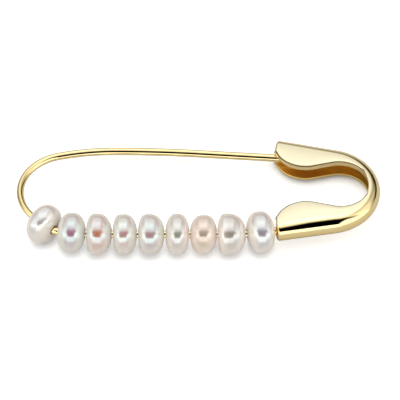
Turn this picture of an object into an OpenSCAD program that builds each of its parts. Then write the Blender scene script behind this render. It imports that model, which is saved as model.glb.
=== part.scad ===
// Safety pin brooch: a gold wire bent once, a folded gold clasp with leaf-shaped lips, and nine
// freshwater button pearls on the near limb. It lies as it rests: on its pearls and the far arm.
// The brooch's own plane is drawn first, from the centre of the clasp's round end:
// u runs along the brooch to the right, w across it to the pin's side, n is its normal.

/* [Brooch] */
// Overall length, from the wire's bend to the clasp's round end
brooch_length = 44.3; // [42:0.1:48]
// Distance from the clasp's middle line to the straight line of pearls
pearl_line = 7.1; // [6.98:0.02:7.4]

/* [Clasp] */
// Height of the clasp over both lips
clasp_h = 2.6; // [2.5:0.05:2.9]
// Thickness of the clasp's folded sheet
clasp_wall = 0.6; // [0.45:0.05:0.65]
// Radius of the round end, to the middle of its half-round back
clasp_bend_r = 5.28; // [5.2:0.01:5.4]
// Angle that the pin's arm opens from the clasp's middle line
pin_arm_angle = 12.8; // [12:0.1:13.5]
// Length of the pin's arm, from the round end to its mouth
pin_arm_len = 7.48; // [7.2:0.02:7.8]
// Angle that the pearls' arm opens from the clasp's middle line
pearl_arm_angle = 10.3; // [9.5:0.1:11]
// Length of the pearls' arm, from the round end to its mouth
pearl_arm_len = 7.18; // [6.9:0.02:7.5]
// Radius of the throat inside the round end
throat_r = 3.65; // [3.5:0.05:3.75]
// Width of lip that is left at the middle of the round end
lip_min = 0.05; // [0.05:0.01:0.1]
// Distance between the two arms' lips where they are widest
mouth_w = 5.76; // [5.5:0.02:6]
// Radius of each lip's leaf-shaped end
leaf_r = 3.42; // [3.2:0.02:3.5]
// How far the lips' widest place stands from the centre of the round end
leaf_reach = 2.42; // [2.3:0.02:2.6]
// Length of the plug that closes the pearls' arm
plug_len = 2; // [1.5:0.1:2.5]
// Width of the plug, inward from the middle of the back
plug_reach = 0.9; // [0.7:0.1:1.2]

/* [Wire] */
// Diameter of the wire
wire_d = 0.85; // [0.75:0.05:0.9]
// Radius of the bend on the pin's side
pin_bend_r = 6.16; // [6:0.02:6.4]
// Angle that the bend turns through on the pin's side
pin_bend_turn = 76.3; // [74:0.1:79]
// Radius of the shoulder between the bend and the pin
pin_shoulder_r = 29; // [24:1:34]
// Radius of the pin's gentle bow
pin_bow_r = 129; // [100:1:150]
// Radius of the bend on the pearls' side
pearl_bend_r = 6.1; // [5.9:0.05:6.3]
// Angle that the bend turns through on the pearls' side
pearl_bend_turn = 47; // [45:0.5:49]
// Length of the straight slope under the first pearl
slope_len = 2.28; // [2.1:0.02:2.4]
// Radius of the corner after the first pearl
corner_r = 2.4; // [2.2:0.1:2.6]
// Angle that the corner turns through
corner_turn = 35; // [33:0.5:37]
// Radius of the shoulder between the corner and the straight line of pearls
pearl_shoulder_r = 41; // [36:0.5:46]
// Radius of the bow that leads the wire into the clasp
seat_bow_r = 22; // [16:0.5:23]
// Length of wire that is held in the clasp's plug
seat_len = 1.8; // [1:0.1:1.9]
// Radial clearance of the wire in the plug
seat_clear = 0.03; // [0.02:0.01:0.06]
// Gap between the pin and the fixed wire, in the middle of the bend
split_gap = 0.15; // [0.1:0.01:0.2]

/* [Point] */
// Length over which the pin narrows to its point, from just outside the clasp
point_len = 8.8; // [8.7:0.1:9.5]
// Diameter of the blunt tip
tip_d = 0.2; // [0.15:0.05:0.3]
// Angle that the tip reaches round the clasp's bend
tip_turn = 12; // [9:0.5:14]
// Gap between the tip and the clasp's back, inside
tip_clear = 0.4; // [0.3:0.01:0.5]

/* [Pearls] */
// Diameter that the pearls' diameters are shares of
pearl_d = 5; // [4.7:0.05:5.2]
// Length that the pearls' lengths are shares of
pearl_len = 3.2; // [3:0.05:3.3]
// Gap between the first pearl and the clasp, and that the gaps between pearls are shares of
pearl_gap = 0.15; // [0.08:0.01:0.25]
// Radial clearance of a pearl's drilled hole on the wire
bore_clear = 0.17; // [0.15:0.01:0.2]

/* [Hidden] */
$fn = 96;
gold = [0.93, 0.8, 0.47];

// Columns of the pearls' table, from the bend to the clasp
DIAMETER = 0;  // share of pearl_d
LENGTH = 1;    // share of pearl_len
BELLY = 2;     // where the widest place is, as a share of the length from the bend's end
LEFT = 3;      // fullness of the face toward the bend: 2 is elliptical, more is flatter
RIGHT = 4;     // fullness of the face toward the clasp
GAP = 5;       // gap before the next pearl or the clasp, as a share of pearl_gap
TINT = 6;      // body colour
PEARLS = [
    [1.00, 1.03, 0.50, 2.3, 2.3, 2.8, [0.90, 0.90, 0.88]],
    [0.98, 1.06, 0.50, 2.3, 2.3, 1.1, [0.95, 0.88, 0.90]],
    [0.99, 0.96, 0.44, 2.7, 2.2, 1.1, [0.96, 0.88, 0.82]],
    [0.98, 0.90, 0.44, 2.7, 2.2, 1.3, [0.96, 0.89, 0.86]],
    [0.98, 0.98, 0.44, 2.7, 2.2, 1.3, [0.95, 0.87, 0.89]],
    [1.00, 0.89, 0.50, 2.3, 2.3, 1.0, [0.92, 0.93, 0.89]],
    [0.94, 1.00, 0.50, 2.4, 2.3, 1.0, [0.95, 0.86, 0.76]],
    [1.01, 1.06, 0.45, 2.6, 2.2, 1.0, [0.91, 0.89, 0.87]],
    [1.02, 1.07, 0.50, 2.3, 2.3, 1.0, [0.90, 0.88, 0.92]],
];
profile_steps = 12;
cut_margin = 1;
lip_spare = 0.4;
back_steps = 24;
arc_step = 3;
seam_step = 0.003;
seam_lap = 0.02;

back_r = clasp_h / 2;
hollow_r = back_r - clasp_wall;
wire_r = wire_d / 2;

// A pose is a place in the brooch's plane and the direction faced there: [u, w, heading].
U = 0;
W = 1;
HEADING = 2;

// A run is a row of the wire's path: [length, 0] is straight, [radius, turn] bends to the right,
// as every bend of the wire does. Steps backward along a run are negative.
function turned(p, h) = [p[U], p[W], h];
function ahead(p, len) = [p[U] + len * cos(p[HEADING]), p[W] + len * sin(p[HEADING]), p[HEADING]];
function beside(p, len) = turned(ahead(turned(p, p[HEADING] + 90), len), p[HEADING]);
function around(p, r, turn) = beside(turned(beside(p, -r), p[HEADING] - turn), r);
function after_run(p, run) = run[1] == 0 ? ahead(p, run[0]) : around(p, run[0], run[1]);
function turn_of(len, r) = len / r * 180 / PI;
function run_length(run) = run[1] == 0 ? run[0] : run[0] * run[1] * PI / 180;
function part_run(run, len) = run[1] == 0 ? [len, 0] : [run[0], turn_of(len, run[0])];
function poses(start, runs) =
    [for (i = 0, p = start; i <= len(runs); p = i < len(runs) ? after_run(p, runs[i]) : p, i = i + 1) p];
function along(start, runs, dist, i = 0) =
    i == len(runs) - 1 || dist <= run_length(runs[i])
        ? after_run(start, part_run(runs[i], dist))
        : along(after_run(start, runs[i]), runs, dist - run_length(runs[i]), i + 1);

// Clasp: both arms' mouths and the centres of throat and leaves
pin_mouth = ahead(beside([0, 0, 180 - pin_arm_angle], -clasp_bend_r), pin_arm_len);
pearl_mouth = ahead(beside([0, 0, 180 + pearl_arm_angle], clasp_bend_r), pearl_arm_len);
throat_u = clasp_bend_r - lip_min - throat_r;
leaf_w = mouth_w / 2 + leaf_r;
lip_reach = clasp_bend_r / cos(pin_arm_angle) + leaf_reach * tan(pin_arm_angle) - mouth_w / 2 + lip_spare;
// The straight edge between leaf and throat touches both circles
leaf_to_throat = norm([leaf_reach + throat_u, leaf_w]);
edge_slope = asin((leaf_r + throat_r) / leaf_to_throat) - atan2(leaf_w, leaf_reach + throat_u);

// Wire: the bend's leftmost place, then the pearls' limb from inside the plug to the bend
bend_u = clasp_bend_r + back_r + wire_r - brooch_length;
bend_runs = [
    [pearl_shoulder_r, 90 - pearl_bend_turn - corner_turn],
    [corner_r, corner_turn],
    [slope_len, 0],
    [pearl_bend_r, pearl_bend_turn],
];
bend_shift = poses([0, 0, 180], bend_runs)[len(bend_runs)];
bend_middle = [bend_u, bend_shift[W] - pearl_line, 90];
corner_len = (pearl_line + pearl_mouth[W]) / sin(pearl_arm_angle);
bow_tangent = seat_bow_r * tan(pearl_arm_angle / 2);
lead_len = corner_len - bow_tangent;
straight_len = ahead(pearl_mouth, corner_len)[U] - bow_tangent + bend_shift[U] - bend_u;
wire_start = ahead(pearl_mouth, -seat_len);
pearl_runs = [
    [seat_len + lead_len, 0],
    [seat_bow_r, pearl_arm_angle],
    [straight_len, 0],
    bend_runs[0],
    bend_runs[1],
    bend_runs[2],
    part_run(bend_runs[3], run_length(bend_runs[3]) - split_gap / 2),
];

// Pin: from the bend to a tip that lies by the far arm's back
pin_shoulder_turn = 90 - pin_bend_turn;
pin_start = around(bend_middle, pin_bend_r, turn_of(split_gap / 2, pin_bend_r));
level = around(around(bend_middle, pin_bend_r, pin_bend_turn), pin_shoulder_r, pin_shoulder_turn);
tip_round = 90 - pin_arm_angle - tip_turn;
tip = (clasp_bend_r + hollow_r - tip_clear - tip_d / 2) * [cos(tip_round), sin(tip_round)];
bow_centre = beside(level, -pin_bow_r);
tip_from_centre = [tip[U] - bow_centre[U], tip[W] - bow_centre[W]];
bow_turn = atan2(tip_from_centre[0], tip_from_centre[1]) - acos(pin_bow_r / norm(tip_from_centre));
pin_len = sqrt(pow(norm(tip_from_centre), 2) - pow(pin_bow_r, 2));
pin_runs = [
    [pin_bend_r, pin_bend_turn - turn_of(split_gap / 2, pin_bend_r)],
    [pin_shoulder_r, pin_shoulder_turn],
    [pin_bow_r, bow_turn],
    [pin_len - point_len, 0],
];

// Pearls: each one's end is measured from the clasp's mouth along the wire, and its drilled
// hole lies midway between the wire's bow and the straight line across that bow
function pearl_size(i) = PEARLS[i][LENGTH] * pearl_len;
function pearl_radius(i) = PEARLS[i][DIAMETER] * pearl_d / 2;
function pearl_end(i) =
    PEARLS[i][GAP] * pearl_gap + (i == len(PEARLS) - 1 ? 0 : pearl_end(i + 1) + pearl_size(i + 1));
function pearl_pose(i) =
    let (right_end = seat_len + pearl_end(i),
         near = along(wire_start, pearl_runs, right_end),
         middle = along(wire_start, pearl_runs, right_end + pearl_size(i) / 2),
         far = along(wire_start, pearl_runs, right_end + pearl_size(i)))
    turned((2 * middle + near + far) / 4, atan2(far[W] - near[W], far[U] - near[U]));

// Rest: the brooch leans on a pearl and the far arm's round back
lean = max([for (i = [0 : len(PEARLS) - 1])
    asin((pearl_radius(i) - back_r) / (pin_mouth[W] - pearl_pose(i)[W]))]);
lift = back_r + pin_mouth[W] * sin(lean);
near_y = -pearl_line * cos(lean) - pearl_d / 2;
far_y = pin_mouth[W] * cos(lean) + back_r;

module placed() {
    translate([brooch_length / 2 - clasp_bend_r - back_r, -(near_y + far_y) / 2, lift])
        rotate([-lean, 0, 0])
            children();
}

// Stands the children's z axis along the heading of a pose
module facing(p) {
    translate([p[U], p[W], 0]) rotate([0, 0, p[HEADING]]) rotate([0, 90, 0]) children();
}

// Section of the clasp: a half-round back toward +x and two lips that reach toward -x, with its
// faces inset a hair where it laps into the next length
module section(inset = 0, fill = false) {
    outer = back_r - inset;
    inner = hollow_r + inset;
    polygon(concat(
        [for (i = [0 : back_steps]) let (a = -90 + 180 * i / back_steps) outer * [cos(a), sin(a)]],
        [[-lip_reach, outer], [-lip_reach, inner]],
        fill ? [[-plug_reach, inner], [-plug_reach, -inner]]
             : [for (i = [0 : back_steps]) let (a = 90 - 180 * i / back_steps) inner * [cos(a), sin(a)]],
        [[-lip_reach, -inner], [-lip_reach, -outer]]
    ));
}

// One length of the clasp's channel, from a pose backward; its back is on the right unless said
module channel(p, len, back_on_left = false, inset = 0, fill = false) {
    translate([p[U], p[W], 0])
        rotate([0, 0, p[HEADING]])
            rotate([90, 0, -90])
                linear_extrude(len)
                    mirror([back_on_left ? 1 : 0, 0])
                        section(inset, fill);
}

// Edge of the lips, seen from above: leaf, straight edge, round throat and back again
function arc(centre, r, from, to) =
    [for (i = [0 : ceil(abs(to - from) / arc_step)])
        let (a = from + (to - from) * i / ceil(abs(to - from) / arc_step)) centre + r * [cos(a), sin(a)]];
function mirrored_back(points) = [for (i = [len(points) - 2 : -1 : 0]) [points[i][0], -points[i][1]]];
lip_edge = concat(
    [[min(pin_mouth[U], pearl_mouth[U]) - cut_margin, leaf_w]],
    arc([-leaf_reach, leaf_w], leaf_r, 180, 270 + edge_slope),
    arc([throat_u, 0], throat_r, 90 + edge_slope, 0)
);

module throat() {
    translate([0, 0, -back_r - cut_margin])
        linear_extrude(clasp_h + 2 * cut_margin)
            polygon(concat(lip_edge, mirrored_back(lip_edge)));
}

module clasp() {
    color(gold)
        placed()
            difference() {
                union() {
                    rotate([0, 0, pearl_arm_angle - 90])
                        rotate_extrude(angle = 180 - pin_arm_angle - pearl_arm_angle)
                            translate([clasp_bend_r, 0])
                                section();
                    channel(pin_mouth, pin_arm_len + seam_lap, inset = seam_step);
                    channel(ahead(pearl_mouth, seam_lap - plug_len), pearl_arm_len - plug_len + 2 * seam_lap,
                            back_on_left = true, inset = seam_step);
                    channel(pearl_mouth, plug_len, back_on_left = true, fill = true);
                }
                throat();
                facing(ahead(pearl_mouth, -plug_len - cut_margin))
                    cylinder(h = plug_len + 2 * cut_margin, r = wire_r + seat_clear);
            }
}

// One run of round wire from a pose, longer than its path by a lap before and after
module wire_run(p, run, r, before, after) {
    first = after_run(p, part_run(run, -before));
    last = after_run(p, part_run(run, run_length(run) + after));
    centre = beside(p, -run[0]);
    if (run[1] == 0)
        facing(first) cylinder(h = run[0] + before + after, r = r);
    else
        translate([centre[U], centre[W], 0])
            rotate([0, 0, last[HEADING] + 90])
                rotate_extrude(angle = first[HEADING] - last[HEADING])
                    translate([run[0], 0])
                        circle(r);
}

// Wire along a list of runs: each second one is a hair thinner and laps into its neighbours
module bent_wire(start, runs) {
    stops = poses(start, runs);
    for (i = [0 : len(runs) - 1])
        if ((len(runs) - i) % 2 == 1)
            wire_run(stops[i], runs[i], wire_r, 0, 0);
        else
            wire_run(stops[i], runs[i], wire_r - seam_step, i == 0 ? 0 : seam_lap, seam_lap);
}

module wire() {
    color(gold)
        placed()
            bent_wire(wire_start, pearl_runs);
}

module pin() {
    color(gold)
        placed()
            union() {
                bent_wire(pin_start, pin_runs);
                facing(ahead(poses(pin_start, pin_runs)[len(pin_runs)], -seam_lap))
                    cylinder(h = point_len + seam_lap, r1 = wire_r - seam_step, r2 = tip_d / 2);
            }
}

// A button pearl, numbered from the bend: a lens with its own fullness on each face, drilled through
module pearl(number) {
    row = PEARLS[number - 1];
    size = pearl_size(number - 1);
    left_len = size * row[BELLY];
    right_len = size - left_len;
    color(row[TINT])
        placed()
            facing(pearl_pose(number - 1))
                translate([0, 0, size / 2 - left_len])
                    difference() {
                        rotate_extrude()
                            polygon([for (i = [-profile_steps : profile_steps])
                                let (a = 90 * i / profile_steps)
                                [pearl_radius(number - 1) * cos(a),
                                 i < 0 ? -right_len * pow(-sin(a), 2 / row[RIGHT])
                                       : left_len * pow(sin(a), 2 / row[LEFT])]]);
                        translate([0, 0, -size])
                            cylinder(h = 2 * size, r = wire_r + bore_clear);
                    }
}

clasp();
wire();
pin();
for (number = [1 : len(PEARLS)])
    pearl(number);
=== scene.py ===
"""Safety pin brooch: a gold wire bent once, a folded gold clasp and nine freshwater button pearls.

The shapes are worked out in millimetres in the brooch's own plane, from the centre of the clasp's
round end: u runs along the brooch to the right, w across it to the pin's side, n is its normal.
to_frame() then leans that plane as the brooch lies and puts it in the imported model's frame.
"""

import bpy
import numpy as np
from mathutils import Matrix, Vector


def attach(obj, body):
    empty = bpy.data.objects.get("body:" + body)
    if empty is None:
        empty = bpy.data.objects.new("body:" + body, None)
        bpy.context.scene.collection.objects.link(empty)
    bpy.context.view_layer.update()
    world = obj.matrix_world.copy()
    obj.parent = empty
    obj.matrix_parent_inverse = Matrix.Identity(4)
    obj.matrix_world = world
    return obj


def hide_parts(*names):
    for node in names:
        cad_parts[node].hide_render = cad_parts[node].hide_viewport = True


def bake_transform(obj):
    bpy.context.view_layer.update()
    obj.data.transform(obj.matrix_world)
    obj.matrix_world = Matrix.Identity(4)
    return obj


bl_info = {
    "name": "Safety Pin Brooch",
    "version": (1, 0, 0),
    "blender": (4, 5, 0),
    "location": "View3D > Sidebar > Brooch",
    "description": "Builds a pearl and gold safety pin brooch around its packed frame",
    "category": "Add Mesh",
}

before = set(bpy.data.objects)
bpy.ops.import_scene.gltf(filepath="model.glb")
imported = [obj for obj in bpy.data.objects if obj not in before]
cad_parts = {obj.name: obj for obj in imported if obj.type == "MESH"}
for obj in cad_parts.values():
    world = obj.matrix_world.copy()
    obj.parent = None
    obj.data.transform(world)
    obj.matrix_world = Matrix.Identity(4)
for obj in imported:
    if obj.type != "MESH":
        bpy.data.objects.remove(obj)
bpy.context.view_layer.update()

# How the brooch's plane lies: centre of the clasp's round end, height and lean
CENTRE_X, CENTRE_Y, LIFT = 15.57, 0.7463, 1.9681
LEAN = np.radians(5.6336)

# Clasp, in millimetres and degrees: height, sheet and bend, then its middle path from mouth to mouth
CLASP_H, SHEET, BEND_R = 2.6, 0.6, 5.28
PIN_ARM, PEARL_ARM = 12.8, 10.3
PIN_MOUTH, PIN_ARM_LEN, PEARL_ARM_LEN = (-6.1243, 6.806), 7.48, 7.18
CLASP_RUNS = [(PIN_ARM_LEN, 0), (BEND_R, 180 - PIN_ARM - PEARL_ARM), (PEARL_ARM_LEN, 0)]
# Lips' outline: the throat's arc, the leaf's arc and the slope of the straight edge between them
THROAT_U, THROAT_R = 1.58, 3.65
LEAF_U, LEAF_W, LEAF_R, EDGE_SLOPE = -2.42, 6.3, 3.42, 13.745
# The leaf's ellipse toward the mouth: its reach, and where it is cut off, as shares of reach and radius
LEAF_REACH, CUT_REACH, CUT_HEIGHT = 3.8, 0.99, 0.14
# Roundings of the lips' inner upper edge, lower outer edge and lower inner edge
INNER_FILLET, LOWER_FILLET, DEEP_FILLET = 0.1, 0.46, 0.06
# Degrees from outward to up between which each arc of the back's upper half runs
BACK_ARCS = [(0, 38), (38, 51), (51, 76), (76, 90)]
# Length at each mouth with finer steps, and points on the section's back, a lip's flat and an edge
NEAR_MOUTH, BACK_POINTS, FLAT_POINTS, EDGE_POINTS = 2.2, 49, 9, 8
# Plug: length, reach inward from the back, and play in the hollow
PLUG_LEN, PLUG_REACH, PLUG_PLAY = 2.0, 0.9, 0.012

# Wire: where it starts in the plug, and its runs as [length, 0] or [radius, turn to the right]
WIRE_START = (-4.3492, -6.1569, 190.3)
WIRE_RUNS = [
    (3.2919, 0), (22, 10.3), (15.1571, 0), (41, 8), (2.4, 35), (2.28, 0), (6.1, 47),
    (6.16, 76.3), (29, 13.7), (129, 4.3899), (18.2035, 0),
]
# Length over which the pin narrows to its point, step along the wire and sides round it
TAPER_LEN = 8.8
WIRE_STEP, WIRE_SIDES = 0.15, 84
# Degrees round the wire of its flatter strips among the pearls and beyond them, the strips' width in
# degrees, and the length on each side of the first pearl's middle over which they change sides
FLAT_THREADED, FLAT_FREE, FLAT_WIDTH, FLAT_CHANGE = 47, 133, 11, 1.2

# Pearls, in millimetres and degrees: place u, w and heading of the drilled hole, length, radius, share
# of the length before the widest place, and fullness of the face toward the bend and of the other
PEARLS = [
    (-34.356, -5.418, 138.69, 3.296, 2.500, 0.50, 2.4, 2.5),
    (-31.032, -6.845, 173.53, 3.392, 2.450, 0.50, 2.4, 2.5),
    (-27.646, -7.075, 178.58, 3.072, 2.475, 0.42, 3.6, 2.4),
    (-24.505, -7.100, 180.00, 2.880, 2.450, 0.42, 3.6, 2.6),
    (-21.302, -7.100, 180.00, 3.136, 2.450, 0.42, 3.4, 2.6),
    (-18.115, -7.100, 180.00, 2.848, 2.500, 0.50, 2.7, 2.6),
    (-14.941, -7.100, 180.00, 3.200, 2.350, 0.50, 2.7, 2.7),
    (-11.495, -7.083, 181.14, 3.392, 2.525, 0.38, 4.2, 2.3),
    (-7.956, -6.786, 188.65, 3.424, 2.550, 0.50, 2.7, 2.5),
]
# Radius of the drilled hole, and how much further each threaded face reaches than in the pack
HOLE_R, CLOSER = 0.595, 0.06
# Slow waves: how many round the pearl, radians along it and share of the unevenness, then the share
# of the faces' tilt, and the first pearl's random seed less one
WAVES = [(1, 2.2, 0.7), (2, 1.5, 0.8), (3, 2.6, 0.4), (4, 3.4, 0.2), (5, 4.2, 0.12)]
FACE_TILT, SEED = 2.2, 70

# Each pearl's body colour, seen where nothing bright is mirrored, and its lustre's colour
PEARL_COLOURS = [
    ((0.36, 0.36, 0.37), (0.88, 0.92, 0.92)),
    ((0.47, 0.15, 0.26), (0.60, 1.00, 0.92)),
    ((0.66, 0.22, 0.09), (0.54, 0.88, 1.00)),
    ((0.62, 0.26, 0.27), (0.60, 1.00, 0.94)),
    ((0.52, 0.22, 0.29), (0.62, 1.00, 0.92)),
    ((0.34, 0.35, 0.30), (0.88, 0.87, 0.88)),
    ((0.43, 0.34, 0.21), (0.84, 0.73, 0.72)),
    ((0.34, 0.29, 0.24), (0.82, 0.86, 0.88)),
    ((0.32, 0.27, 0.40), (0.88, 0.98, 0.88)),
]
# Tones shared by the pearls: random clouds, a skin toward the holes that is partly their own tone and partly
# painted light on the sides facing the neighbours, a painted milky sheen where it turns away, and painted
# orient sheen
CLOUD_TONE, SKIN_AND_SIDE_LIGHT_TONE, BLOOM_TONE = (0.75, 0.70, 0.66), (0.97, 0.83, 0.71), (0.96, 0.79, 0.75)
PAINTED_ORIENT_SHEEN = (("Red", (0.93, 0.72, 0.55)), ("Blue", (0.72, 0.82, 0.80)))
# Gold's tones: a painted highlight on the flat lips, and painted shade along the rims and in the bend
PAINTED_LIP_HIGHLIGHT, PAINTED_RIM_SHADE = (0.93, 0.85, 0.61), (0.10, 0.06, 0.015)

# Changes of the tent's light: from and to which pitch in degrees, and by how much
TENT_STEPS = [(-56, -28, 0.2), (-16, 12, -0.3), (8, 40, 0.22), (58, 84, -0.36), (84, 106, -0.2)]
# How far right of the frame's origin and above it, across the view, the camera aims, in metres
AIM = 0.000195, 0.000775


# Sizes and colours that a user would change

class WireSettings(bpy.types.PropertyGroup):
    """Sizes of the bent wire."""
    diameter: bpy.props.FloatProperty(
        name="Diameter", description="Diameter of the wire", default=0.00085, unit="LENGTH", precision=5)
    tip_diameter: bpy.props.FloatProperty(
        name="Tip diameter", description="Diameter at the end of the taper", default=0.0002, unit="LENGTH",
        precision=5)
    flatness: bpy.props.FloatProperty(
        name="Flatness", description="How much flatter the wire's two drawn strips are", default=1.1, min=0)


class ClaspSettings(bpy.types.PropertyGroup):
    """Edges and finish of the clasp and the wire."""
    edge_radius: bpy.props.FloatProperty(
        name="Lip edge radius", description="Rounding along the lips' edges", default=0.00014, unit="LENGTH",
        precision=5)
    lip_dome: bpy.props.FloatProperty(
        name="Lip dome", description="How far the upper lips rise in their middle", default=0.00007,
        unit="LENGTH", precision=5)
    shoulder: bpy.props.FloatProperty(
        name="Shoulder radius", description="Radius of the back where it faces up and out",
        default=0.0026, unit="LENGTH", precision=5)
    crown: bpy.props.FloatProperty(
        name="Crown radius", description="Radius where the back runs into the upper lip",
        default=0.0035, unit="LENGTH", precision=5)
    rim_radius: bpy.props.FloatProperty(
        name="Mouth rim radius", description="Rounding of both arms' ends", default=0.0003, unit="LENGTH",
        precision=5)
    gold: bpy.props.FloatVectorProperty(
        name="Gold", description="Colour of the polished gold", subtype="COLOR", size=3,
        default=(0.91, 0.74, 0.39), min=0, max=1)
    # Painted shade: the fold's inside is painted this deeper amber for the shade and bounced gold light
    # there; a little of it also clouds the gold at random
    warm_gold_and_fold_shade: bpy.props.FloatVectorProperty(
        name="Warm gold and fold shade", description="Colour of the gold inside the clasp's fold", subtype="COLOR",
        size=3, default=(0.97, 0.65, 0.17), min=0, max=1)
    roughness: bpy.props.FloatProperty(
        name="Roughness", description="Roughness of the polished gold", subtype="FACTOR", default=0.04,
        min=0, max=1)


class PearlSettings(bpy.types.PropertyGroup):
    """Shape and finish that the pearls share."""
    unevenness: bpy.props.FloatProperty(
        name="Unevenness", description="How far the pearls depart from a turned shape", default=0.00003,
        unit="LENGTH", precision=5)
    rim_radius: bpy.props.FloatProperty(
        name="Hole rim radius", description="Rounding of the drilled hole's rim", default=0.00007,
        unit="LENGTH", precision=5)
    roughness: bpy.props.FloatProperty(
        name="Roughness", description="Roughness of the nacre", subtype="FACTOR", default=0.18, min=0, max=1)


class StageSettings(bpy.types.PropertyGroup):
    """Camera and light."""
    elevation: bpy.props.FloatProperty(
        name="Elevation", description="Height angle of the camera", subtype="ANGLE",
        default=np.radians(52.5))
    view_width: bpy.props.FloatProperty(
        name="View width", description="Width of the picture at the brooch", default=0.0488,
        unit="LENGTH", precision=4)
    distance: bpy.props.FloatProperty(
        name="Distance", description="Distance of the camera", default=1.6, unit="LENGTH")
    tent_light: bpy.props.FloatProperty(
        name="Tent light", description="Brightness of the light tent's front", default=2.0, min=0)
    floor_bleach: bpy.props.FloatProperty(
        name="Bleach", description="How much brighter the camera sees the floor", default=0.58, min=0)
    floor_colour: bpy.props.FloatVectorProperty(
        name="Floor", description="Colour of the floor", subtype="COLOR", size=3,
        default=(0.66, 0.65, 0.62), min=0, max=1)


# Places and surfaces

def to_frame(p):
    """Points (..., 3) of the brooch's plane in mm, turned by the lean about the u axis, lifted and
    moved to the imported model's frame, in metres."""
    u, w, n = np.moveaxis(np.asarray(p, float), -1, 0)
    x = u + CENTRE_X
    y = w * np.cos(LEAN) + n * np.sin(LEAN) + CENTRE_Y
    z = n * np.cos(LEAN) - w * np.sin(LEAN) + LIFT
    return np.stack([x, y, z], -1) / 1000


def walk(start, runs, marks):
    """Places (m, 2) and headings (m) at the distances in marks along straights and right-hand arcs.
    A stretch of length d that turns by t is a chord of length d * sinc(t / 2), in the direction
    halfway between its first heading and its last."""
    first, turn = np.array(runs, float).T
    bend = np.radians(turn)
    length = np.where(turn == 0, first, first * bend)
    heading = np.radians(start[2]) - np.append(0, np.cumsum(bend))
    begin = np.append(0, np.cumsum(length))
    way = heading[:-1] - bend / 2
    chord = length * np.sinc(bend / 2 / np.pi)
    steps = chord[:, None] * np.stack([np.cos(way), np.sin(way)], 1)
    corner = np.array(start[:2]) + np.vstack([[0, 0], np.cumsum(steps, 0)])
    k = np.clip(np.searchsorted(begin, marks, side="right") - 1, 0, len(length) - 1)
    d = marks - begin[k]
    turned = bend[k] / length[k] * d
    way = heading[k] - turned / 2
    chord = d * np.sinc(turned / 2 / np.pi)
    return corner[k] + chord[:, None] * np.stack([np.cos(way), np.sin(way)], 1), heading[k] - turned


def run_length(runs):
    """Length of a list of runs."""
    return sum(a if turn == 0 else a * np.radians(turn) for a, turn in runs)


def grid_faces(rows, columns, row_wrap=False, column_wrap=False):
    """Quads between neighbours of a grid of rows * columns points, wrapped round where asked."""
    i, j = np.meshgrid(np.arange(rows - (not row_wrap)), np.arange(columns - (not column_wrap)),
                       indexing="ij")
    i2, j2 = (i + 1) % rows, (j + 1) % columns
    return np.stack([i * columns + j, i2 * columns + j, i2 * columns + j2, i * columns + j2],
                    -1).reshape(-1, 4)


def mesh_piece(name, points, quads, fans=(), values=None):
    """A smooth-shaded object from points in metres, quads, and fans: each fan closes a ring of point
    numbers with triangles to one more point. values are named numbers per point."""
    points = np.asarray(points).reshape(-1, 3)
    faces = [tuple(q) for q in quads.tolist()]
    extra = []
    for ring, tip in fans:
        extra.append(tip)
        top = len(points) + len(extra) - 1
        ring = np.asarray(ring)
        faces += [tuple(t) for t in np.stack([ring, np.roll(ring, -1), np.full(len(ring), top)], 1).tolist()]
    if extra:
        points = np.vstack([points, extra])
    mesh = bpy.data.meshes.new(name)
    mesh.from_pydata(points.tolist(), [], faces)
    for key, numbers in (values or {}).items():
        full = np.append(np.ravel(numbers), np.zeros(len(points) - np.size(numbers)))
        mesh.attributes.new(key, "FLOAT", "POINT").data.foreach_set("value", full.astype(np.float32))
    mesh.shade_smooth()
    mesh.update()
    if mesh.validate():
        raise RuntimeError(f"{name} had faulty faces")
    piece = bpy.data.objects.new(name, mesh)
    bpy.context.scene.collection.objects.link(piece)
    return piece


def outward(piece):
    """Turns all faces out where the closed piece's volume comes out negative."""
    mesh = piece.data
    mesh.calc_loop_triangles()
    co = np.zeros(len(mesh.vertices) * 3)
    mesh.vertices.foreach_get("co", co)
    tri = np.zeros(len(mesh.loop_triangles) * 3, int)
    mesh.loop_triangles.foreach_get("vertices", tri)
    a, b, c = np.moveaxis(co.reshape(-1, 3)[tri.reshape(-1, 3)], 1, 0)
    if np.einsum("ij,ij->i", a, np.cross(b, c)).sum() < 0:
        mesh.flip_normals()
    return piece


def tube(name, grid, ends):
    """A tube from rings of points (rows, columns, 3), closed at each end by a fan to one more point."""
    rows, columns = grid.shape[:2]
    ring = np.arange(columns)
    fans = [(ring[::-1], ends[0]), ((rows - 1) * columns + ring, ends[1])]
    return outward(mesh_piece(name, grid, grid_faces(rows, columns, column_wrap=True), fans))


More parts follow.
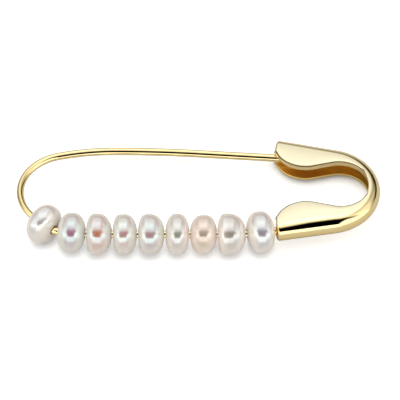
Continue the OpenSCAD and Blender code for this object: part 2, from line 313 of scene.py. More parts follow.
def wire_piece(settings):
    """The whole wire as one tube: the wire's section round the path's places, spanned by the path's
    left side and the plane's normal. The section is drawn slightly flat: its radius of curvature is
    1 + flat * exp(-(t - c)**2 / (2 * s**2)) along two opposite strips, t being the outward direction
    and c the strip's, less the mean. The running sum of radius times (-sin t, cos t) gives the outline.
    The strips pass to other sides inside the first pearl. The size falls in a straight line over the
    taper and ends in a half sphere."""
    radius, tip = settings.diameter * 500, settings.tip_diameter * 500
    total = run_length(WIRE_RUNS)
    ball = np.linspace(0, np.pi / 2, 8)[1:-1]
    taper = np.linspace(total - TAPER_LEN, total - tip, 50)
    marks = np.concatenate([np.arange(0, total - TAPER_LEN, WIRE_STEP), taper,
                            total - tip + tip * np.sin(ball)])
    size = np.interp(marks, [0, total - TAPER_LEN, total - tip], [radius, radius, tip])
    size[-len(ball):] = tip * np.cos(ball)
    place, heading = walk(WIRE_START, WIRE_RUNS, marks)
    side = np.stack([-np.sin(heading), np.cos(heading), 0 * heading], 1)
    around = np.linspace(0, 2 * np.pi, WIRE_SIDES, endpoint=False)
    first_pearl = marks[np.argmin(np.hypot(*(place - PEARLS[0][:2]).T))]
    strip = np.interp(marks, [first_pearl - FLAT_CHANGE, first_pearl + FLAT_CHANGE],
                      np.radians([FLAT_THREADED, FLAT_FREE]))
    off = np.remainder(around - strip[:, None] + np.pi / 2, np.pi) - np.pi / 2
    bend = 1 + settings.flatness * np.exp(-(off / np.radians(FLAT_WIDTH)) ** 2 / 2)
    bend *= around[1] / bend.mean(1, keepdims=True)
    steps = bend[..., None] * np.stack([-np.sin(around), np.cos(around)], 1)
    across = np.cumsum(steps, 1) - steps / 2
    across -= across.mean(1, keepdims=True)
    ring = side[:, None] * across[..., :1] + np.array([0, 0, 1]) * across[..., 1:]
    centre = np.column_stack([place, 0 * marks])
    grid = to_frame(centre[:, None] + size[:, None, None] * ring)
    end, _ = walk(WIRE_START, WIRE_RUNS, np.array([0, total]))
    return tube("bent_wire", grid, to_frame(np.column_stack([end, [0, 0]])))


def lip_edge(place, heading):
    """For each place on the clasp's middle path, where the line across it meets the lips' outline,
    how far that is, and the outline's direction away from the metal. The outline is, from the mouth:
    a quarter of an ellipse down to the leaf's lowest place, the leaf's arc, a straight edge and the
    throat's arc."""
    inward = np.stack([np.sin(heading), -np.cos(heading)], 1)
    reach = np.linspace(0, 5.2, 1301)
    p = place[:, None] + reach[:, None] * inward[:, None]
    u, w = p[..., 0], np.abs(p[..., 1])
    slope = np.radians(EDGE_SLOPE)
    leaf_end = LEAF_U + LEAF_R * np.sin(slope)
    throat_start = THROAT_U - THROAT_R * np.sin(slope)
    from_leaf = np.hypot((u - LEAF_U) * np.where(u < LEAF_U, LEAF_R / LEAF_REACH, 1), w - LEAF_W)
    from_throat = np.hypot(u - THROAT_U, w)
    edge_w = np.cos(slope) * (w - LEAF_W) - np.sin(slope) * (u - LEAF_U) + LEAF_R
    metal = np.select([u < LEAF_U - CUT_REACH * LEAF_REACH, u < leaf_end, u < throat_start],
                      [w - LEAF_W + CUT_HEIGHT * LEAF_R, np.where(w > LEAF_W, 1, LEAF_R - from_leaf),
                       edge_w],
                      from_throat - THROAT_R)
    k = np.argmax(metal <= 0, axis=1)
    row = np.arange(len(place))
    before, after = metal[row, k - 1], metal[row, k]
    far = reach[k - 1] + (reach[1] - reach[0]) * before / (before - after)
    edge = place + far[:, None] * inward
    u, w, up = edge[:, 0], np.abs(edge[:, 1]), np.where(edge[:, 1] < 0, -1, 1)
    leaf = np.stack([(u - LEAF_U) * np.where(u < LEAF_U, (LEAF_R / LEAF_REACH) ** 2, 1), w - LEAF_W], 1)
    throat = np.stack([THROAT_U - u, -w], 1)
    line = np.stack([np.full_like(u, np.sin(slope)), np.full_like(u, -np.cos(slope))], 1)
    region = [u < leaf_end, u < throat_start]
    away = np.select([r[:, None] for r in region], [leaf, line], throat)
    away /= np.linalg.norm(away, axis=1)[:, None]
    return edge, far, away * np.stack([np.ones_like(u), up], 1)


def clasp_section(settings, marks):
    """Points and outward directions (marks, profile, 3) of the clasp's section carried along its
    middle path: half-round back, two flat lips with rounded edges, and the hollow inside. Distances
    across the path run to the lips' outline, so the lips are leaf-shaped. Above the middle the back
    is the four BACK_ARCS end to end, all of the half-round's radius at the mouths. Round the bend the
    third is wider, and on the pearls' arm it is tighter, with the second and the last flatter."""
    outer, inner = CLASP_H / 2, CLASP_H / 2 - SHEET
    total = run_length(CLASP_RUNS)
    place, heading = walk((*PIN_MOUTH, -PIN_ARM), CLASP_RUNS, marks)
    edge, far, away = lip_edge(place, heading)
    fillet = np.minimum(settings.edge_radius * 1000, 0.7 * far)
    inner_fillet, lower_fillet, deep_fillet = (
        np.minimum(r, 0.7 * far) for r in (INNER_FILLET, LOWER_FILLET, DEEP_FILLET))
    zero = np.zeros(len(marks))
    middle, tip = np.column_stack([place, zero]), np.column_stack([edge, zero])
    out = np.column_stack([-np.sin(heading), np.cos(heading), zero])
    away = np.column_stack([away, zero])
    up = np.array([0, 0, 1.0])
    turn = np.linspace(-np.pi / 2, np.pi / 2, BACK_POINTS)[:, None]
    arc = out[:, None] * np.cos(turn) + up * np.sin(turn)
    # The back turns flatter from 17.5 to 22 mm along the clasp and less so again at the pearls' mouth
    flatter = np.clip((total - marks + 1) / 5, 0, 1) * np.clip((marks - 17.5) / 4.5, 0, 1)
    shoulder = (1 - flatter) * outer + flatter * settings.shoulder * 1000
    wide = (1 - flatter) * outer + flatter * settings.crown * 1000
    tight = (1 - flatter) * outer + flatter * 0.9 + np.interp(marks, [1, 8, 11, 19], [0, 0.45, 0.45, 0])

    def stretch(radius, low, high):
        bend = np.radians([low, high])
        part = np.clip(turn, *bend)
        step = out[:, None] * (np.cos(part) - np.cos(bend[0])) + up * (np.sin(part) - np.sin(bend[0]))
        return radius[:, None, None] * step

    radii = np.full(len(marks), outer), shoulder, tight, wide
    back = middle[:, None] + outer * out[:, None]
    for radius, (low, high) in zip(radii, BACK_ARCS):
        back = back + stretch(radius, low, high)
    back = np.where(turn > 0, back, middle[:, None] + outer * arc)
    rise = (back[:, -1:, 2] - outer)[:, :, None] * up
    share = np.array([0.02, 0.12, 0.24, 0.36, 0.5, 0.64, 0.78, 0.955, 0.99])[:, None]
    flat_start = back[:, -1] * [1, 1, 0]
    flat_end, inner_end, lower_end, deep_end = (tip - r[:, None] * away
                                                for r in (fillet, inner_fillet, lower_fillet, deep_fillet))
    flat = flat_start[:, None] + (flat_end - flat_start)[:, None] * share
    flat = flat + (settings.lip_dome * 1000 * far / 4)[:, None, None] * 4 * (share * (1 - share)) * up
    inner_flat, deep_flat, lower_flat = (middle[:, None] + (end - middle)[:, None] * share
                                         for end in (inner_end, deep_end, lower_end))
    quarter = np.linspace(0, np.pi / 2, EDGE_POINTS)[:, None]
    round_n = away[:, None] * np.sin(quarter) + up * np.cos(quarter)

    def rounded(end, radius, height, sign):
        return (end[:, None] + radius[:, None, None] * away[:, None] * np.sin(quarter)
                + up * height - sign * radius[:, None, None] * (1 - np.cos(quarter)) * up)

    outside = rounded(flat_end, fillet, outer, 1)
    inside = rounded(inner_end, inner_fillet, inner, -1)[:, ::-1]
    deep = rounded(deep_end, deep_fillet, inner, -1)
    lower = rounded(lower_end, lower_fillet, outer, 1)[:, ::-1]
    mirror = np.array([1, 1, -1])
    level = up + 0 * flat
    points = [back, flat + up * outer + rise, outside + rise, inside,
              (inner_flat + up * inner)[:, ::-1], (middle[:, None] + inner * arc)[:, ::-1],
              (deep_flat + up * inner) * mirror, deep * mirror, lower * mirror,
              ((lower_flat + up * outer) * mirror)[:, ::-1]]
    normals = [arc, level, round_n, (round_n * mirror)[:, ::-1], -level, -arc[:, ::-1], level,
               round_n, (round_n * mirror)[:, ::-1], -level]
    return np.concatenate(points, 1), np.concatenate(normals, 1), heading


def clasp_piece(settings):
    """The folded sheet: the section carried from mouth to mouth. At each end it is rounded over by
    moving every point on by r * sin(t) and in along its outward direction by r * (1 - cos(t))."""
    rim = settings.rim_radius * 1000
    total = run_length(CLASP_RUNS)
    dense = np.linspace(0, 1, 60)[1:] ** 2 * NEAR_MOUTH
    marks = np.unique(np.concatenate([
        [rim], rim + dense, np.linspace(rim + NEAR_MOUTH, total - rim - NEAR_MOUTH, 190),
        total - rim - dense, [total - rim]]))
    points, normals, heading = clasp_section(settings, marks)
    along = np.column_stack([np.cos(heading), np.sin(heading), 0 * heading])
    rounding = np.linspace(0, np.pi / 2, 7)[1:, None, None]
    start = points[0] - rim * np.sin(rounding) * along[0] - rim * (1 - np.cos(rounding)) * normals[0]
    end = points[-1] + rim * np.sin(rounding) * along[-1] - rim * (1 - np.cos(rounding)) * normals[-1]
    grid = np.concatenate([start[::-1], points, end])
    rows, columns = grid.shape[:2]
    quads = grid_faces(rows, columns, column_wrap=True)
    # Columns: the back, the upper lip's flat and edge, the same inside with both lips, the lower lip
    lip = FLAT_POINTS + EDGE_POINTS
    first = BACK_POINTS + lip
    last = first + lip + BACK_POINTS + lip
    inside, edge, flat_lip = np.zeros((3, columns))
    # Painted highlight: the upper lip's flat is painted paler, fading over the crown and the rim
    upper = np.arange(BACK_POINTS - 7, first)
    flat_lip[upper] = np.interp(upper, [upper[0] - 1, BACK_POINTS - 1, first - 6, first - 1], [0, 1, 1, 0])
    inside[first + 6:last - 1] = 1
    # Painted shade: a dark line painted along the upper lip's rounded outer rim, where the rim mirrors dark
    edge[first - 9:first - 1] = (0.7, 1, 1, 1, 1, 0.8, 0.5, 0.2)
    # Painted shade: the fold's inside is painted darker in the middle of the bend, with the rims' dark tone
    bend_painted_shade = np.pad(0.45 * np.exp(-((marks - 12.5) / 4) ** 2), len(rounding))[:, None]
    # Each end is closed by quads between the outer row of points and the inner one
    outer_row = np.concatenate([np.arange(last, columns), np.arange(0, first)])
    inner_row = np.arange(last - 1, first - 1, -1)
    pairs = np.stack([outer_row[:-1], outer_row[1:], inner_row[1:], inner_row[:-1]], 1)
    quads = np.concatenate([quads, pairs[:, ::-1], (rows - 1) * columns + pairs])
    values = {"inner_face": np.tile(inside, rows), "lip_edge": (edge + bend_painted_shade * inside).ravel(),
              "flat_lip": np.tile(flat_lip, rows)}
    return outward(mesh_piece("folded_clasp", to_frame(grid), quads, (), values))


def plug_piece():
    """The plug in the pearls' arm: a bar with a half-round back inside the hollow and a flat front
    that stops at the lips' outline, rounded over at both ends like the clasp."""
    radius = CLASP_H / 2 - SHEET - PLUG_PLAY
    total = run_length(CLASP_RUNS)
    marks = np.concatenate([[total - PLUG_LEN], np.linspace(total - PLUG_LEN + 0.1, total - 0.3, 30),
                            total - 0.3 + 0.22 * np.linspace(0.1, 1, 8)])
    place, heading = walk((*PIN_MOUTH, -PIN_ARM), CLASP_RUNS, marks)
    _, far, _ = lip_edge(place, heading)
    front = np.minimum(PLUG_REACH, far - 0.03)
    zero = np.zeros(len(marks))
    out = np.column_stack([-np.sin(heading), np.cos(heading), zero])
    turn = np.linspace(-np.pi / 2, np.pi / 2, 25)
    across = np.concatenate([radius * np.cos(turn), np.zeros(12)])
    height = np.concatenate([radius * np.sin(turn), radius * np.linspace(1, -1, 12)])
    face = np.arange(12)
    inward = np.concatenate([np.zeros(25), np.minimum(1, np.minimum(face, face[::-1]) / 2)])
    middle = np.column_stack([place, zero])
    grid = (middle[:, None] + out[:, None] * (across - front[:, None] * inward)[..., None]
            + height[:, None] * np.array([0, 0, 1.0]))
    grid = to_frame(grid)
    return tube("wire_plug", grid, (grid[0].mean(0), grid[-1].mean(0)))


def pearl_piece(number, settings):
    """A drilled button pearl. Its face is turned from r = R * cos(a), z = L * sin(a) ** (2 / f), with
    its own length and fullness on each side of the belly, made uneven by a few slow waves round and
    along it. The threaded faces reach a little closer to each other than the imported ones. A rounded
    rim leads into the hole, and the hole's wall closes the surface."""
    u, w, heading, length, radius, belly, left_full, right_full = PEARLS[number - 1]
    rng = np.random.default_rng(SEED + number)
    rim = settings.rim_radius * 1000
    left = belly * length + (number > 2) * CLOSER
    right = (1 - belly) * length + (1 < number < len(PEARLS)) * CLOSER
    stop = np.arccos((HOLE_R + rim) / radius)
    a = np.linspace(-stop, stop, 97)
    s = np.abs(np.sin(a))
    r = radius * np.cos(a)
    z = np.where(a < 0, -right * s ** (2 / right_full), left * s ** (2 / left_full))
    turn = np.linspace(0, np.pi / 2, 6)[1:]
    lip_r = HOLE_R + rim - rim * np.sin(turn)
    lip_left = z[-1] - rim * (1 - np.cos(turn))
    lip_right = z[0] + rim * (1 - np.cos(turn))
    inside = np.linspace(lip_left[-1], lip_right[-1], 8)[1:-1]
    r = np.concatenate([r, lip_r, np.full(6, HOLE_R), lip_r[::-1]])
    z = np.concatenate([z, lip_left, inside, lip_right[::-1]])
    around = np.linspace(0, 2 * np.pi, 96, endpoint=False)
    away = np.clip((r - HOLE_R) / (radius - HOLE_R), 0, 1)[:, None]
    waves = sum(size * np.cos(k * around + rng.uniform(0, 2 * np.pi) + m * z[:, None] / length)
                for k, m, size in WAVES)
    r = r[:, None] + away * settings.unevenness * 1000 * waves
    tilt = rng.uniform(0, 2 * np.pi)
    uneven = FACE_TILT * settings.unevenness * 1000 * np.cos(2 * around + tilt)
    z = z[:, None] + away * (1 - away) * uneven
    h = np.radians(heading)
    ahead, side = np.array([np.cos(h), np.sin(h), 0]), np.array([-np.sin(h), np.cos(h), 0])
    centre = np.array([u, w, 0]) + ahead * (0.5 - belly) * length
    grid = (centre + z[..., None] * ahead + (r * np.cos(around))[..., None] * side
            + (r * np.sin(around))[..., None] * np.array([0, 0, 1.0]))
    rows, columns = grid.shape[:2]
    return outward(mesh_piece(f"button_pearl_{number}", to_frame(grid),
                              grid_faces(rows, columns, row_wrap=True, column_wrap=True)))


# Materials

def nodes_of(material):
    """Shader nodes and links of a new material, with its Principled BSDF."""
    material.use_nodes = True
    tree = material.node_tree
    return tree.nodes, tree.links, tree.nodes["Principled BSDF"]


def group_tree(name, inputs, outputs):
    """An empty shader node group with float, colour or vector sockets."""
    kinds = {"f": "NodeSocketFloat", "c": "NodeSocketColor", "v": "NodeSocketVector"}
    tree = bpy.data.node_groups.new(name, "ShaderNodeTree")
    for label, kind, default in inputs:
        tree.interface.new_socket(label, in_out="INPUT", socket_type=kinds[kind]).default_value = default
    for label, kind in outputs:
        tree.interface.new_socket(label, in_out="OUTPUT", socket_type=kinds[kind])
    return tree, tree.nodes.new("NodeGroupInput"), tree.nodes.new("NodeGroupOutput")


def noise(tree, vector, scale, detail=2.0, rough=0.5, warp=0.0):
    """A noise texture on a vector socket."""
    node = tree.nodes.new("ShaderNodeTexNoise")
    node.inputs["Scale"].default_value = scale
    node.inputs["Detail"].default_value = detail
    node.inputs["Roughness"].default_value = rough
    node.inputs["Distortion"].default_value = warp
    tree.links.new(vector, node.inputs["Vector"])
    return node


def spread(tree, value, low, high, to_low=0.0, to_high=1.0):
    """A smooth step from low to high."""
    node = tree.nodes.new("ShaderNodeMapRange")
    node.interpolation_type = "SMOOTHSTEP"
    for key, number in zip(("From Min", "From Max", "To Min", "To Max"), (low, high, to_low, to_high)):
        node.inputs[key].default_value = number
    tree.links.new(value, node.inputs["Value"])
    return node.outputs["Result"]


def blend_colours(tree, factor, first, second):
    """first where factor is 0, second where it is 1. Each is a socket or a colour."""
    node = tree.nodes.new("ShaderNodeMix")
    node.data_type = "RGBA"
    for key, value in (("Factor", factor), ("A", first), ("B", second)):
        socket = next(s for s in node.inputs if s.name == key and s.enabled)
        if isinstance(value, bpy.types.NodeSocket):
            tree.links.new(value, socket)
        else:
            socket.default_value = value if isinstance(value, float) else (*value, 1)
    return next(s for s in node.outputs if s.enabled)


def math_node(tree, operation, a, b=0.0):
    """One sum on two sockets or numbers."""
    node = tree.nodes.new("ShaderNodeMath")
    node.operation = operation
    for socket, value in zip(node.inputs, (a, b)):
        if isinstance(value, bpy.types.NodeSocket):
            tree.links.new(value, socket)
        else:
            socket.default_value = value
    return node.outputs[0]


def polish_and_painted_light_group():
    """Hand-polished gold: slow cloudiness of colour, patchy roughness and very faint unevenness, with
    painted light: a deeper amber shade inside the fold, a dark shade along rims and a paler highlight on the
    flat lips.
    """
    if "Hand Polish And Painted Light" in bpy.data.node_groups:
        return bpy.data.node_groups["Hand Polish And Painted Light"]
    tree, source, result = group_tree(
        "Hand Polish And Painted Light",
        [("Vector", "v", (0, 0, 0)), ("Gold", "c", (1, 1, 1, 1)), ("Warm Gold And Fold Shade", "c", (1, 1, 1, 1)),
         ("Depth", "f", 0.0), ("Edge", "f", 0.0), ("Lip Highlight And Softness", "f", 0.0), ("Roughness", "f", 0.1)],
        [("Color", "c"), ("Roughness", "f"), ("Height", "f")])
    vector = source.outputs["Vector"]
    cloud = noise(tree, vector, 0.35, 2.0).outputs["Fac"]
    fine = noise(tree, vector, 9.0, 3.0, 0.6).outputs["Fac"]
    warm = blend_colours(tree, spread(tree, cloud, 0.35, 0.7, 0.0, 0.10), source.outputs["Gold"],
                         source.outputs["Warm Gold And Fold Shade"])
    # Painted shade: the fold's inside is painted a deeper amber
    colour = blend_colours(tree, source.outputs["Depth"], warm, source.outputs["Warm Gold And Fold Shade"])
    # Painted highlight: the flat lips are painted paler
    colour = blend_colours(tree, source.outputs["Lip Highlight And Softness"], colour, PAINTED_LIP_HIGHLIGHT)
    # Painted shade: a near-black tone along the lips' rims and in the middle of the bend's inside
    colour = blend_colours(tree, source.outputs["Edge"], colour, PAINTED_RIM_SHADE)
    patchy = math_node(tree, "MULTIPLY", source.outputs["Roughness"],
                       spread(tree, fine, 0.3, 0.7, 0.8, 1.25))
    dull = math_node(tree, "ADD", math_node(tree, "MULTIPLY", source.outputs["Depth"], 0.34),
                     math_node(tree, "MULTIPLY", source.outputs["Lip Highlight And Softness"], 0.22))
    tree.links.new(colour, result.inputs["Color"])
    tree.links.new(math_node(tree, "ADD", patchy, dull), result.inputs["Roughness"])
    tree.links.new(math_node(tree, "ADD", math_node(tree, "MULTIPLY", fine, 0.3), cloud),
                   result.inputs["Height"])
    return tree


def grouped_material(name, tree, bump_strength):
    """A new material whose node group gets Object coordinates in millimetres and drives the shader's
    colour, roughness and bump. Returns it with its shader, the coordinates' mapping and the group."""
    material = bpy.data.materials.new(name)
    nodes, links, shader = nodes_of(material)
    coordinates = nodes.new("ShaderNodeTexCoord")
    mapping = nodes.new("ShaderNodeMapping")
    mapping.inputs["Scale"].default_value = (1000, 1000, 1000)
    links.new(coordinates.outputs["Object"], mapping.inputs["Vector"])
    group = nodes.new("ShaderNodeGroup")
    group.node_tree = tree
    links.new(mapping.outputs["Vector"], group.inputs["Vector"])
    bump = nodes.new("ShaderNodeBump")
    bump.inputs["Strength"].default_value = bump_strength
    bump.inputs["Distance"].default_value = 0.00001
    links.new(group.outputs["Height"], bump.inputs["Height"])
    links.new(group.outputs["Color"], shader.inputs["Base Color"])
    links.new(group.outputs["Roughness"], shader.inputs["Roughness"])
    links.new(bump.outputs["Normal"], shader.inputs["Normal"])
    return material, shader, mapping, group


def gold_material(name, settings, attributes=()):
    """Polished yellow gold. attributes are pairs of a socket of the polish and the mesh attribute that
    drives it: inside the fold the gold is duller and painted a deeper amber as painted shade, a dark
    line of painted shade runs along the upper lips' rims and the bend's inside, and the flat lips are
    softer and painted paler as a painted highlight."""
    material, shader, _, group = grouped_material(name, polish_and_painted_light_group(), 0.1)
    group.inputs["Gold"].default_value = (*settings.gold, 1)
    group.inputs["Warm Gold And Fold Shade"].default_value = (*settings.warm_gold_and_fold_shade, 1)
    group.inputs["Roughness"].default_value = settings.roughness
    for socket, key in attributes:
        attribute = material.node_tree.nodes.new("ShaderNodeAttribute")
        attribute.attribute_name = key
        material.node_tree.links.new(attribute.outputs["Fac"], group.inputs[socket])
    shader.inputs["Metallic"].default_value = 1
    return material


def nacre_group():
    """Nacre: clouded body colour with painted peach and mint clouds of orient sheen, a pale skin toward
    the drill holes that is partly the pearl's own tone and partly painted light on the sides facing its
    neighbours, patchy roughness, and in the bump growth rings round the drilled axis and fine pitting.
    The vector's z runs along the drilled axis, in mm."""
    if "Nacre" in bpy.data.node_groups:
        return bpy.data.node_groups["Nacre"]
    tree, source, result = group_tree(
        "Nacre",
        [("Vector", "v", (0, 0, 0)), ("Body", "c", (1, 1, 1, 1)), ("Cloud", "c", (1, 1, 1, 1)),
         ("Skin", "c", (1, 1, 1, 1)), ("Roughness", "f", 0.2)],
        [("Color", "c"), ("Roughness", "f"), ("Height", "f")])
    vector = source.outputs["Vector"]
    cloud = noise(tree, vector, 0.55, 3.0, 0.5, 0.4).outputs["Fac"]
    fine = noise(tree, vector, 14.0, 3.0, 0.6).outputs["Fac"]
    split = tree.nodes.new("ShaderNodeSeparateXYZ")
    tree.links.new(vector, split.inputs[0])
    slow = noise(tree, vector, 0.9, 2.0).outputs["Fac"]
    phase = math_node(tree, "ADD", math_node(tree, "MULTIPLY", split.outputs["Z"], 14.0),
                      math_node(tree, "MULTIPLY", slow, 9.0))
    rings = math_node(tree, "SINE", phase)
    factor = spread(tree, cloud, 0.38, 0.68, 0.0, 0.5)
    colour = blend_colours(tree, factor, source.outputs["Body"], source.outputs["Cloud"])
    # Skin toward the holes: partly the pearl's own paler tone, partly painted light lifting the shaded sides
    # that face its neighbours
    ends = math_node(tree, "ADD", math_node(tree, "ABSOLUTE", split.outputs["Z"]),
                     math_node(tree, "MULTIPLY", slow, 0.5))
    skin_and_side_light = spread(tree, ends, 0.5, 1.75)
    colour = blend_colours(tree, skin_and_side_light, colour, source.outputs["Skin"])
    # Painted sheen: peach and mint clouds of orient painted into the colour, stronger toward the holes
    orient = noise(tree, vector, 0.75, 2.0, 0.5, 0.8).outputs["Color"]
    parts = tree.nodes.new("ShaderNodeSeparateColor")
    tree.links.new(orient, parts.inputs["Color"])
    for channel, tone in PAINTED_ORIENT_SHEEN:
        share = spread(tree, parts.outputs[channel], 0.46, 0.68, 0.0, 0.45)
        share = math_node(tree, "MULTIPLY", share, math_node(tree, "ADD", skin_and_side_light, 0.15))
        colour = blend_colours(tree, share, colour, tone)
    tree.links.new(colour, result.inputs["Color"])
    tree.links.new(math_node(tree, "MULTIPLY", source.outputs["Roughness"],
                             spread(tree, fine, 0.3, 0.7, 0.88, 1.15)), result.inputs["Roughness"])
    height = math_node(tree, "ADD", math_node(tree, "MULTIPLY", rings, 0.12),
                       math_node(tree, "MULTIPLY", fine, 0.25))
    tree.links.new(math_node(tree, "ADD", height, cloud), result.inputs["Height"])
    return tree


def nacre_material(number, settings):
    """One pearl's nacre: its body colour below, its lustre's colour in what it mirrors, and a milky
    bloom, the sheen of its layers, where it turns away."""
    body, lustre = PEARL_COLOURS[number - 1]
    u, w, heading = PEARLS[number - 1][:3]
    material, shader, mapping, group = grouped_material(f"nacre_{number}", nacre_group(), 0.25)
    tree = material.node_tree
    centre = Vector(to_frame([u, w, 0])) * 1000
    axis = Vector((np.cos(np.radians(heading)), np.sin(np.radians(heading)) * np.cos(LEAN),
                   -np.sin(np.radians(heading)) * np.sin(LEAN)))
    turn = axis.to_track_quat("Z", "Y").inverted()
    mapping.inputs["Rotation"].default_value = turn.to_euler()
    mapping.inputs["Location"].default_value = Vector((7.3 * number, 3.1 * number, 0)) - turn @ centre
    pale = 0.6 * np.array(body) + 0.4 * np.array(CLOUD_TONE)
    # Skin toward the holes: partly the pearl's own tone, partly painted light
    skin_and_side_light = 0.35 * np.array(body) + 0.65 * np.array(SKIN_AND_SIDE_LIGHT_TONE)
    milk = 0.5 * skin_and_side_light + 0.5 * np.array(BLOOM_TONE)
    for key, tone in (("Body", body), ("Cloud", pale), ("Skin", skin_and_side_light)):
        group.inputs[key].default_value = (*tone, 1)
    group.inputs["Roughness"].default_value = settings.roughness
    # Painted sheen: the base colour turns milky where the surface turns away
    bloom = tree.nodes.new("ShaderNodeLayerWeight")
    bloom.inputs["Blend"].default_value = 0.5
    share = spread(tree, bloom.outputs["Facing"], 0.06, 0.5, 0.0, 0.7)
    colour = blend_colours(tree, share, group.outputs["Color"], tuple(milk))
    tree.links.new(colour, shader.inputs["Base Color"])
    shader.inputs["IOR"].default_value = 4.4
    shader.inputs["Specular Tint"].default_value = (*lustre, 1)
    shader.inputs["Sheen Weight"].default_value = 1.0
    shader.inputs["Sheen Roughness"].default_value = 0.5
    shader.inputs["Sheen Tint"].default_value = (1, 0.95, 0.90, 1)
    shader.inputs["Coat Weight"].default_value = 0.6
    shader.inputs["Coat Roughness"].default_value = 0.12
    return material


def put_on(piece, material):
    """Gives the piece its only material."""
    piece.data.materials.append(material)
    return piece


# Operators

class BROOCH_OT_wire(bpy.types.Operator):
    """Add the bent gold wire"""
    bl_idname = "brooch.wire"
    bl_label = "Add Wire"

    def execute(self, context):
        scene = context.scene
        finish = gold_material("drawn_gold", scene.brooch_clasp)
        piece = put_on(wire_piece(scene.brooch_wire), finish)
        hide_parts("wire", "pin")
        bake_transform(piece)
        return {"FINISHED"}


class BROOCH_OT_clasp(bpy.types.Operator):
    """Add the folded clasp and its plug"""
    bl_idname = "brooch.clasp"
    bl_label = "Add Clasp"

    def execute(self, context):
        settings = context.scene.brooch_clasp
        finish = gold_material("polished_gold", settings,
                               [("Depth", "inner_face"), ("Edge", "lip_edge"), ("Lip Highlight And Softness", "flat_lip")])
        clasp = put_on(clasp_piece(settings), finish)
        plug = put_on(plug_piece(), gold_material("plug_gold", settings))
        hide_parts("clasp")
        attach(clasp, "root")
        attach(plug, "root")
        return {"FINISHED"}


class BROOCH_OT_pearls(bpy.types.Operator):
    """Add the nine button pearls"""
    bl_idname = "brooch.pearls"
    bl_label = "Add Pearls"

    def execute(self, context):
        settings = context.scene.brooch_pearls
        for number in range(1, len(PEARLS) + 1):
            node = f"pearl_{number}"
            piece = put_on(pearl_piece(number, settings), nacre_material(number, settings))
            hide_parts(node)
            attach(piece, "root")
        return {"FINISHED"}


class BROOCH_OT_stage(bpy.types.Operator):
    """Add the floor, the light tent and the camera"""
    bl_idname = "brooch.stage"
    bl_label = "Add Stage"

    def execute(self, context):
        scene, settings = context.scene, context.scene.brooch_stage
        floor = mesh_piece("floor", np.array([(-2, -2, 0), (2, -2, 0), (2, 2, 0), (-2, 2, 0)], float),
                           np.array([[0, 1, 2, 3]]))
        floor.data.materials.append(table_material(settings))
        light_tent(scene, settings)
        aim_camera(scene, settings)
        return {"FINISHED"}


def table_material(settings):
    """White table. For the camera it glows brighter, as on an overexposed product shot, with a painted
    contact shadow where that glow fades within a millimetre of the pieces, and it keeps its own greyer
    tone in what the gold and the pearls mirror."""
    material = bpy.data.materials.new("white_table")
    nodes, links, shader = nodes_of(material)
    shader.inputs["Base Color"].default_value = (*settings.floor_colour, 1)
    shader.inputs["Roughness"].default_value = 0.6
    shader.inputs["Specular IOR Level"].default_value = 0.1
    bright = nodes.new("ShaderNodeBsdfDiffuse")
    bright.inputs["Color"].default_value = (0.70, 0.70, 0.70, 1)
    painted_contact_shadow = nodes.new("ShaderNodeAmbientOcclusion")
    painted_contact_shadow.samples = 16
    painted_contact_shadow.inputs["Distance"].default_value = 0.001
    lift = nodes.new("ShaderNodeEmission")
    # Painted contact shadow: the camera-only glow is dimmed near the pieces
    links.new(math_node(material.node_tree, "MULTIPLY", painted_contact_shadow.outputs["AO"], settings.floor_bleach),
              lift.inputs["Strength"])
    total = nodes.new("ShaderNodeAddShader")
    rays = nodes.new("ShaderNodeLightPath")
    mix = nodes.new("ShaderNodeMixShader")
    links.new(bright.outputs[0], total.inputs[0])
    links.new(lift.outputs[0], total.inputs[1])
    links.new(rays.outputs["Is Camera Ray"], mix.inputs[0])
    links.new(shader.outputs[0], mix.inputs[1])
    links.new(total.outputs[0], mix.inputs[2])
    links.new(mix.outputs[0], nodes["Material Output"].inputs["Surface"])
    return material


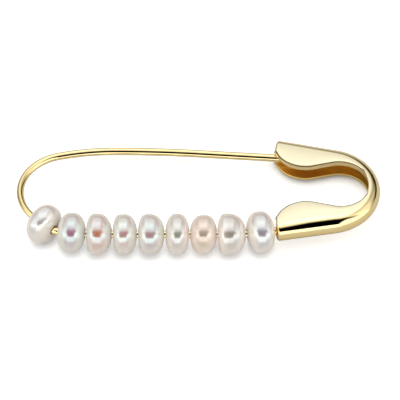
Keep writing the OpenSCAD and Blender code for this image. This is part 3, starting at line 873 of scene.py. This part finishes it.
def light_tent(scene, settings):
    """World light. pitch is the angle up from the camera's direction, 0 at the lens and 127 degrees
    at the horizon behind the brooch, and side the angle to the right. The tent is white all round,
    brightest low in front and half-way up. The slot for the lens is dark and wide, with a soft shadow
    above it that reaches further right, the four corners are dimmer, and the tent's lower hem is grey
    behind the brooch and darker to the sides."""
    world = bpy.data.worlds.new("light_tent")
    scene.world = world
    world.use_nodes = True
    tree = world.node_tree
    tree.nodes.clear()
    view = tree.nodes.new("ShaderNodeTexCoord").outputs["Generated"]
    e = settings.elevation

    def dot(direction):
        node = tree.nodes.new("ShaderNodeVectorMath")
        node.operation = "DOT_PRODUCT"
        tree.links.new(view, node.inputs[0])
        node.inputs[1].default_value = direction
        return node.outputs["Value"]

    def times(*parts):
        product = parts[0]
        for part in parts[1:]:
            product = math_node(tree, "MULTIPLY", product, part)
        return product

    def less(mask, share=1.0):
        return math_node(tree, "SUBTRACT", 1.0, math_node(tree, "MULTIPLY", mask, share))

    def step(value, low, high, start=0.0, end=1.0):
        return spread(tree, value, float(np.radians(low)), float(np.radians(high)), start, end)

    pitch = math_node(tree, "ARCTAN2", dot((0, np.sin(e), np.cos(e))), dot((0, -np.cos(e), np.sin(e))))
    side = math_node(tree, "ARCSINE", dot((1, 0, 0)))
    wide = math_node(tree, "ABSOLUTE", side)
    height = math_node(tree, "ARCSINE", dot((0, 0, 1)))
    round_back = math_node(tree, "ARCTAN2", dot((1, 0, 0)), dot((0, 1, 0)))
    narrow = math_node(tree, "SUBTRACT", wide, step(pitch, -20, 15, 0, np.radians(12)))
    slot = times(step(pitch, -22, -18), step(pitch, 6, 24, 1.0, 0.0), step(narrow, 20, 28, 1.0, 0.0))
    above = times(step(pitch, -10, 10), step(pitch, 16, 50, 1.0, 0.0), step(side, -30, -22),
                  step(side, 24, 60, 1.0, 0.0))
    beside = times(step(pitch, 2, 8), step(pitch, 12, 24, 1.0, 0.0), step(side, 20, 28),
                   step(side, 34, 66, 1.0, 0.0))
    level = 0.8 * settings.tent_light
    for low, high, change in TENT_STEPS:
        level = math_node(tree, "ADD", level, step(pitch, low, high, 0.0, change * settings.tent_light))
    corner = times(step(wide, 18, 34), step(math_node(tree, "ABSOLUTE", pitch), 20, 45))
    right_corner = times(step(side, 22, 32), step(side, 36, 46, 1.0, 0.0), step(pitch, 20, 50))
    lift = times(step(round_back, 30, 46, 0.0, np.radians(-5)), step(round_back, 62, 76, 1.0, 0.0))
    hem = times(step(math_node(tree, "SUBTRACT", height, lift), 16, 25, 1.0, 0.0),
                spread(tree, dot((0, 1, 0)), 0.2, 0.45))
    hem_depth = math_node(tree, "MAXIMUM", step(round_back, 2, 20), step(round_back, -50, -34, 1.0, 0.0))
    hem_depth = math_node(tree, "MULTIPLY_ADD", hem_depth, 0.37)
    hem_depth.node.inputs[2].default_value = 0.55
    hem_depth = times(hem_depth, less(step(round_back, 56, 80), 0.5))
    level = times(level, less(slot), less(above, 0.45), less(beside, 0.8), less(corner, 0.38),
                  less(right_corner, 0.3), less(times(hem, hem_depth)))
    tent = tree.nodes.new("ShaderNodeBackground")
    tent.inputs["Color"].default_value = (1, 0.99, 0.965, 1)
    tree.links.new(level, tent.inputs["Strength"])
    plain = tree.nodes.new("ShaderNodeBackground")
    plain.inputs["Color"].default_value = (1, 1, 1, 1)
    rays = tree.nodes.new("ShaderNodeLightPath")
    mix = tree.nodes.new("ShaderNodeMixShader")
    tree.links.new(rays.outputs["Is Camera Ray"], mix.inputs[0])
    tree.links.new(tent.outputs[0], mix.inputs[1])
    tree.links.new(plain.outputs[0], mix.inputs[2])
    output = tree.nodes.new("ShaderNodeOutputWorld")
    tree.links.new(mix.outputs[0], output.inputs["Surface"])
    scene.view_settings.view_transform = "Standard"


def aim_camera(scene, settings):
    """The camera at the photograph's angle, aimed a little above and right of the frame's origin."""
    e = settings.elevation
    up = Vector((0, np.sin(e), np.cos(e)))
    back = Vector((0, -np.cos(e), np.sin(e)))
    data = bpy.data.cameras.new("camera")
    data.sensor_width = 36
    data.lens = 36 * settings.distance / settings.view_width
    data.clip_end = 20
    camera = bpy.data.objects.new("camera", data)
    scene.collection.objects.link(camera)
    right = Vector((1, 0, 0))
    target = right * AIM[0] + up * AIM[1]
    turn = Matrix((right, up, back)).transposed().to_4x4()
    camera.matrix_world = Matrix.Translation(target + back * settings.distance) @ turn
    scene.camera = camera


class BROOCH_PT_panel(bpy.types.Panel):
    """Lists the brooch's settings and its operators"""
    bl_idname = "BROOCH_PT_panel"
    bl_label = "Safety Pin Brooch"
    bl_space_type = "VIEW_3D"
    bl_region_type = "UI"
    bl_category = "Brooch"

    def draw(self, context):
        for group, operator in zip(SETTINGS, OPERATORS):
            box = self.layout.box()
            settings = getattr(context.scene, group)
            for key in settings.__annotations__:
                box.prop(settings, key)
            box.operator(operator.bl_idname)


SETTINGS = {
    "brooch_wire": WireSettings,
    "brooch_clasp": ClaspSettings,
    "brooch_pearls": PearlSettings,
    "brooch_stage": StageSettings,
}
OPERATORS = (BROOCH_OT_wire, BROOCH_OT_clasp, BROOCH_OT_pearls, BROOCH_OT_stage)
CLASSES = (*SETTINGS.values(), *OPERATORS, BROOCH_PT_panel)


def register():
    for cls in CLASSES:
        bpy.utils.register_class(cls)
    for name, group in SETTINGS.items():
        setattr(bpy.types.Scene, name, bpy.props.PointerProperty(type=group))


def unregister():
    for name in SETTINGS:
        delattr(bpy.types.Scene, name)
    for cls in reversed(CLASSES):
        bpy.utils.unregister_class(cls)


def main():
    register()
    bpy.ops.brooch.wire()
    bpy.ops.brooch.clasp()
    bpy.ops.brooch.pearls()
    bpy.ops.brooch.stage()


if __name__ == "__main__":
    main()
